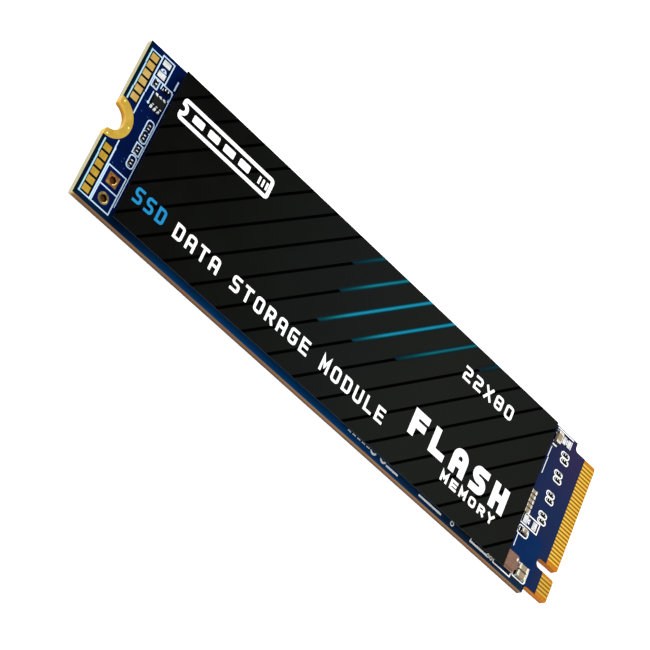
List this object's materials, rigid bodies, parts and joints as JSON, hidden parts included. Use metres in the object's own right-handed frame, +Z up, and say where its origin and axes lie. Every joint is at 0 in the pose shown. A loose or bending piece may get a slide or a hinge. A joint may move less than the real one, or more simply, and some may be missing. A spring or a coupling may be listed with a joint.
{
  "type": "solid state drive",
  "caption": "Flat M.2 solid state drive: a blue circuit board with a half-round screw notch, a keyed gold edge connector and a dark label over its chips.",
  "frame": {"origin": "under the middle of the 80 by 22 mm board outline, on the plane of the back label's outer face", "axes": "+X along the board towards the edge connector, +Y across the board with the key slot on the -Y side, +Z up out of the component side"},
  "size_m": [0.08, 0.022, 0.0019],
  "materials": {
    "laminate": "woven glass and epoxy, cut edge",
    "prepreg": "glass and epoxy, orange brown",
    "copper": "bare copper",
    "solder_mask": "glossy dark blue",
    "legend_ink": "white ink",
    "gold_land": "gold plated, slightly dull",
    "gold_contacts": "hard gold plated, bright",
    "gold_pads": "thin gold plated, dull",
    "header_plating": "gold plated, darker",
    "tinned_pads": "solder coated, bright",
    "chip_moulding": "black moulded epoxy",
    "silicon": "polished silicon",
    "chip_base": "green laminate",
    "solder": "bright solder",
    "tinned_leads": "tin plated",
    "ferrite": "mauve brown pressed ferrite",
    "ceramic": "fired ceramic",
    "crystal_metal": "nickel plated",
    "quartz": "polished quartz with electrodes",
    "capacitor_ceramic": "fired tan ceramic",
    "tinned_ends": "tin plated end caps",
    "resistor_coat": "black glaze",
    "adhesive": "acrylic adhesive",
    "label_film": "matt charcoal film with dark stripes",
    "back_label": "white printed film"
  },
  "bodies": {
    "root": {"board_core": "laminate", "prepreg_top": "prepreg", "prepreg_bottom": "prepreg", "ground_plane": "copper", "power_plane": "copper", "solder_mask_top": "solder_mask", "solder_mask_bottom": "solder_mask", "board_legend": "legend_ink", "screw_land": "gold_land", "contacts_top": "gold_contacts", "contacts_bottom": "gold_contacts", "test_pads": "gold_pads", "header_hole_plating": "header_plating", "part_pads": "tinned_pads", "controller_case": "chip_moulding", "controller_die": "silicon", "controller_base": "chip_base", "controller_solder_balls": "solder", "power_chip_case": "chip_moulding", "power_chip_leads": "tinned_leads", "inductor_cores": "ferrite", "inductor_coils": "copper", "inductor_terminals": "tinned_leads", "load_switch_case": "chip_moulding", "load_switch_leads": "tinned_leads", "crystal_base": "ceramic", "crystal_lid": "crystal_metal", "crystal_blank": "quartz", "capacitor_bodies_0201": "capacitor_ceramic", "capacitor_ends_0201": "tinned_ends", "capacitor_bodies_0402": "capacitor_ceramic", "capacitor_ends_0402": "tinned_ends", "capacitor_bodies_0603": "capacitor_ceramic", "capacitor_ends_0603": "tinned_ends", "resistor_bodies": "resistor_coat", "resistor_ends": "tinned_ends", "solder_joints": "solder", "label_adhesive": "adhesive", "label_film": "label_film", "back_label": "back_label", "flash_chip_1_case": "chip_moulding", "flash_chip_1_dies": "silicon", "flash_chip_1_base": "chip_base", "flash_chip_1_solder_balls": "solder", "flash_chip_2_case": "chip_moulding", "flash_chip_2_dies": "silicon", "flash_chip_2_base": "chip_base", "flash_chip_2_solder_balls": "solder", "flash_chip_3_case": "chip_moulding", "flash_chip_3_dies": "silicon", "flash_chip_3_base": "chip_base", "flash_chip_3_solder_balls": "solder", "flash_chip_4_case": "chip_moulding", "flash_chip_4_dies": "silicon", "flash_chip_4_base": "chip_base", "flash_chip_4_solder_balls": "solder"}
  },
  "joints": []
}
